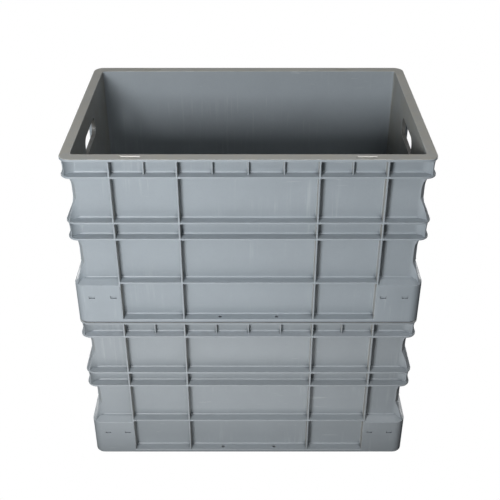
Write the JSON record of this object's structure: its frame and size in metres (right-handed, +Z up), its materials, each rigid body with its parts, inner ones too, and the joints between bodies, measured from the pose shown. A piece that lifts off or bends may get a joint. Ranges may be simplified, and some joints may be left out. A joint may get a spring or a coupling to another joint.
{
  "type": "stackable storage crate",
  "caption": "Open-topped rectangular plastic storage crates with ribbed walls, ring flanges and hand holes, nested in a stack; the upper one lifts off.",
  "frame": {"origin": "centre of the footprint, on the surface that the lower crate stands on", "axes": "+Z up, X along the long side, Y along the short side"},
  "size_m": [0.6, 0.4, 0.655],
  "materials": {
    "lower_crate_shell": "moulded grey polypropylene, satin, lightly scuffed",
    "upper_crate_shell": "moulded grey polypropylene, satin, lightly scuffed"
  },
  "bodies": {
    "lower_crate": {"lower_crate": "lower_crate_shell"},
    "upper_crate": {"upper_crate": "upper_crate_shell"}
  },
  "joints": [
    {"name": "upper_crate_lift", "type": "slide", "parent": "lower_crate", "child": "upper_crate", "axis": [0, 0, 1], "range_m": [0, 0.335]}
  ]
}
